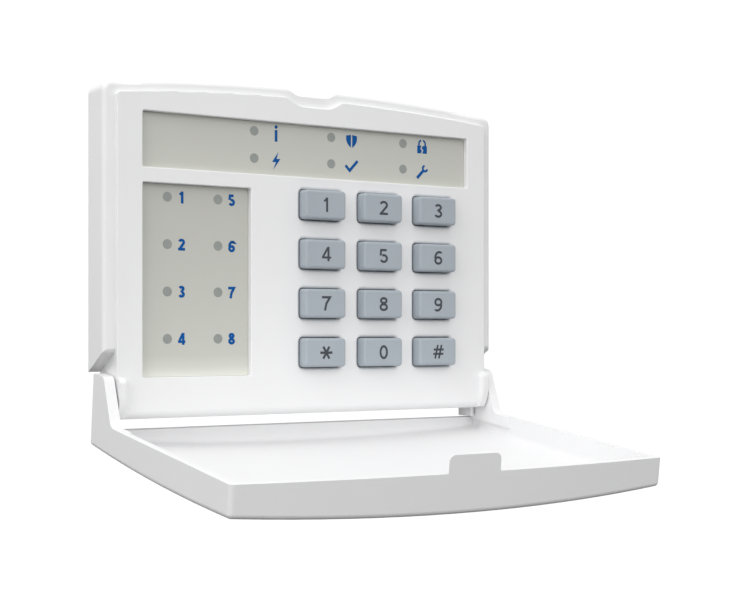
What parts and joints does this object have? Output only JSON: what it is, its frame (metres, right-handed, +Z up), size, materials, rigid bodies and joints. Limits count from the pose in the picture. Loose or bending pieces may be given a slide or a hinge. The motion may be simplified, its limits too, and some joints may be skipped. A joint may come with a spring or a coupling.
{
  "type": "alarm keypad panel",
  "caption": "Wall-mounted alarm keypad with rubber keys, indicator lights behind printed labels, and a flip-down lid on side arms.",
  "frame": {"origin": "middle of the wall plate's rear face, which lies against the wall", "axes": "front faces -Y, +Z up, X across the width"},
  "size_m": [0.14, 0.1043, 0.1247],
  "materials": {
    "casing_white": "fine spark-eroded satin",
    "label_film": "satin printed film",
    "key_rubber": "matt silicone",
    "carbon": "matt",
    "board_green": "solder mask",
    "led_clear": "clear lens in a white body",
    "screw_steel": "zinc plated",
    "terminal_green": "moulded",
    "plated_metal": "tin plated",
    "capacitor_can": "sleeveless can",
    "black_plastic": "moulded",
    "switch_white": "moulded"
  },
  "bodies": {
    "panel": {"front_cover": "casing_white", "rear_housing": "casing_white", "status_label": "label_film", "zone_label": "label_film", "keypad_mat": "key_rubber", "circuit_board": "board_green", "status_leds": "led_clear", "zone_leds": "led_clear", "board_screws": "screw_steel", "terminal_block": "terminal_green", "terminal_clamps": "plated_metal", "terminal_screws": "screw_steel", "buzzer": "black_plastic", "microcontroller": "black_plastic", "bus_transceiver": "black_plastic", "voltage_regulator": "black_plastic", "crystal": "plated_metal", "capacitors": "capacitor_can", "resistors": "black_plastic", "tamper_switch": "black_plastic"},
    "lid": {"lid": "casing_white"},
    "tamper_plunger": {"tamper_plunger": "switch_white"},
    "key_1": {"key_1": "key_rubber", "carbon_pill_1": "carbon"},
    "key_2": {"key_2": "key_rubber", "carbon_pill_2": "carbon"},
    "key_3": {"key_3": "key_rubber", "carbon_pill_3": "carbon"},
    "key_4": {"key_4": "key_rubber", "carbon_pill_4": "carbon"},
    "key_5": {"key_5": "key_rubber", "carbon_pill_5": "carbon"},
    "key_6": {"key_6": "key_rubber", "carbon_pill_6": "carbon"},
    "key_7": {"key_7": "key_rubber", "carbon_pill_7": "carbon"},
    "key_8": {"key_8": "key_rubber", "carbon_pill_8": "carbon"},
    "key_9": {"key_9": "key_rubber", "carbon_pill_9": "carbon"},
    "key_star": {"key_star": "key_rubber", "carbon_pill_star": "carbon"},
    "key_0": {"key_0": "key_rubber", "carbon_pill_0": "carbon"},
    "key_hash": {"key_hash": "key_rubber", "carbon_pill_hash": "carbon"}
  },
  "joints": [
    {"name": "lid_hinge", "type": "hinge", "parent": "panel", "child": "lid", "pos_m": [0, -0.0101, -0.0429], "axis": [-1, 0, 0], "range_deg": [0, 96.69]},
    {"name": "key_1_press", "type": "slide", "parent": "panel", "child": "key_1", "axis": [0, 1, 0], "range_m": [0, 0.0011], "stiffness_N_per_m": 800},
    {"name": "key_2_press", "type": "slide", "parent": "panel", "child": "key_2", "axis": [0, 1, 0], "range_m": [0, 0.0011], "stiffness_N_per_m": 800},
    {"name": "key_3_press", "type": "slide", "parent": "panel", "child": "key_3", "axis": [0, 1, 0], "range_m": [0, 0.0011], "stiffness_N_per_m": 800},
    {"name": "key_4_press", "type": "slide", "parent": "panel", "child": "key_4", "axis": [0, 1, 0], "range_m": [0, 0.0011], "stiffness_N_per_m": 800},
    {"name": "key_5_press", "type": "slide", "parent": "panel", "child": "key_5", "axis": [0, 1, 0], "range_m": [0, 0.0011], "stiffness_N_per_m": 800},
    {"name": "key_6_press", "type": "slide", "parent": "panel", "child": "key_6", "axis": [0, 1, 0], "range_m": [0, 0.0011], "stiffness_N_per_m": 800},
    {"name": "key_7_press", "type": "slide", "parent": "panel", "child": "key_7", "axis": [0, 1, 0], "range_m": [0, 0.0011], "stiffness_N_per_m": 800},
    {"name": "key_8_press", "type": "slide", "parent": "panel", "child": "key_8", "axis": [0, 1, 0], "range_m": [0, 0.0011], "stiffness_N_per_m": 800},
    {"name": "key_9_press", "type": "slide", "parent": "panel", "child": "key_9", "axis": [0, 1, 0], "range_m": [0, 0.0011], "stiffness_N_per_m": 800},
    {"name": "key_star_press", "type": "slide", "parent": "panel", "child": "key_star", "axis": [0, 1, 0], "range_m": [0, 0.0011], "stiffness_N_per_m": 800},
    {"name": "key_0_press", "type": "slide", "parent": "panel", "child": "key_0", "axis": [0, 1, 0], "range_m": [0, 0.0011], "stiffness_N_per_m": 800},
    {"name": "key_hash_press", "type": "slide", "parent": "panel", "child": "key_hash", "axis": [0, 1, 0], "range_m": [0, 0.0011], "stiffness_N_per_m": 800},
    {"name": "tamper_press", "type": "slide", "parent": "panel", "child": "tamper_plunger", "axis": [0, -1, 0], "range_m": [0, 0.0008], "stiffness_N_per_m": 400}
  ]
}
